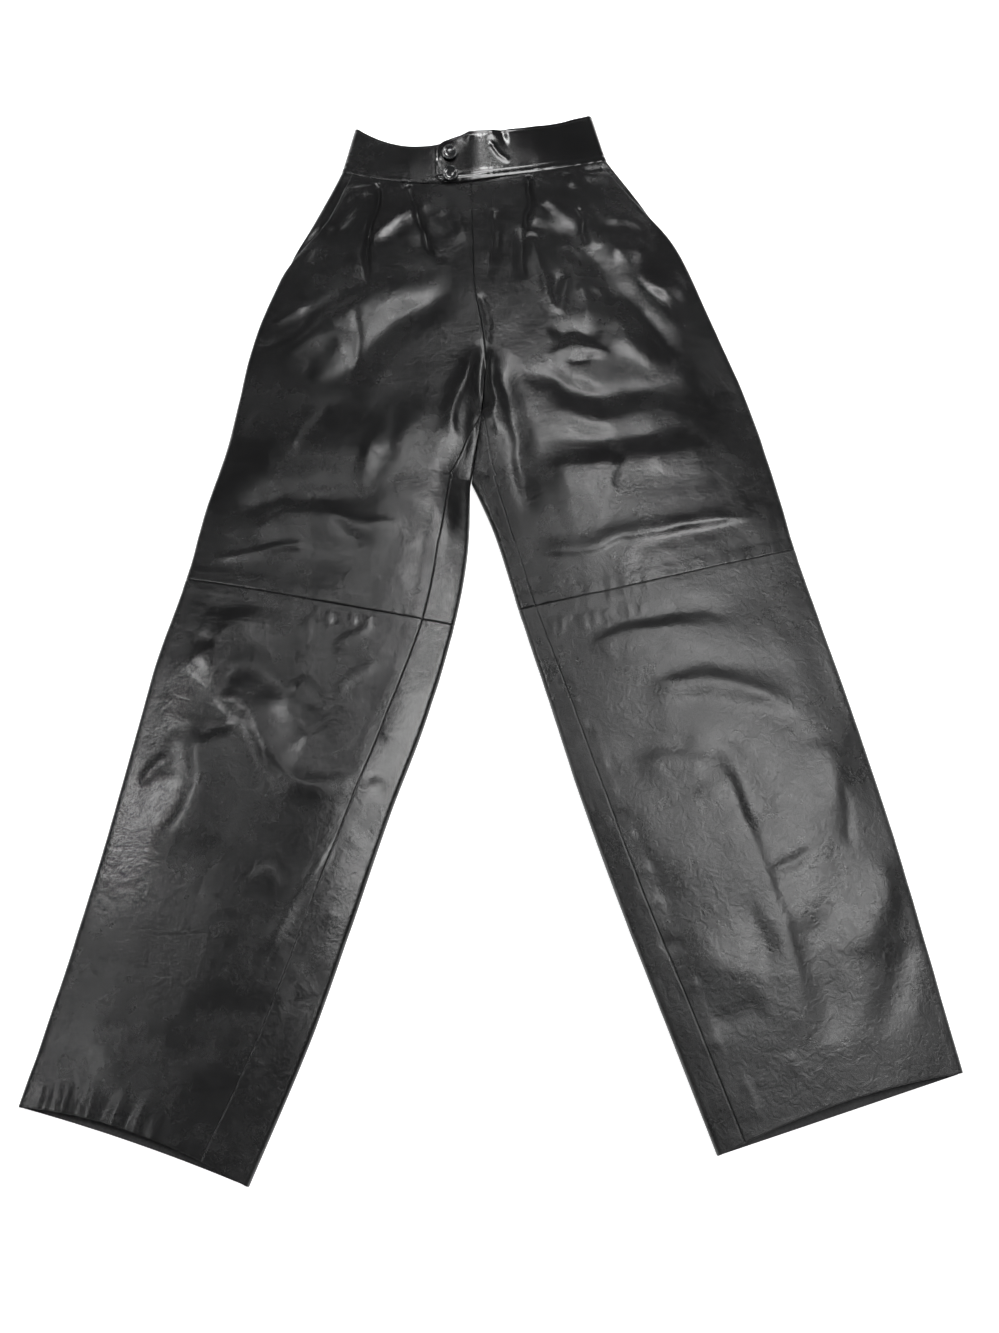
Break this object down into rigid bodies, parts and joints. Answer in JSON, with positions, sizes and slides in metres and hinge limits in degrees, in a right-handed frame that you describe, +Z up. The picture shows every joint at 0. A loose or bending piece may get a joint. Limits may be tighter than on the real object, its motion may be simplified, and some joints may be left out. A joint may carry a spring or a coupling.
{
  "type": "leather trousers",
  "caption": "High-waisted pleated black leather trousers with wide legs, knee seams, slant pockets and a two-button tab waistband, laid flat front up.",
  "frame": {"origin": "bottom centre of the bounding box, on the surface that the trousers lie on, between the legs just below the crotch", "axes": "+Y towards the waist, +Z up out of the front, +X towards the wearer's left leg"},
  "size_m": [0.781, 1.188, 0.0546],
  "materials": {
    "leather": "semi-gloss smooth grain",
    "band_leather": "semi-gloss smooth grain",
    "zip": "woven tape with metal teeth",
    "button": "gloss black"
  },
  "bodies": {
    "root": {"front_upper_right": "leather", "front_upper_left": "leather", "front_lower_right": "leather", "front_lower_left": "leather", "back_upper_right": "leather", "back_upper_left": "leather", "back_lower_right": "leather", "back_lower_left": "leather", "waistband_right": "band_leather", "waistband_left_tab": "band_leather", "waistband_back": "band_leather", "pocket_facing_right": "leather", "pocket_facing_left": "leather", "fly_zip": "zip", "fly_shield": "leather", "button_upper": "button", "button_lower": "button"}
  },
  "joints": []
}
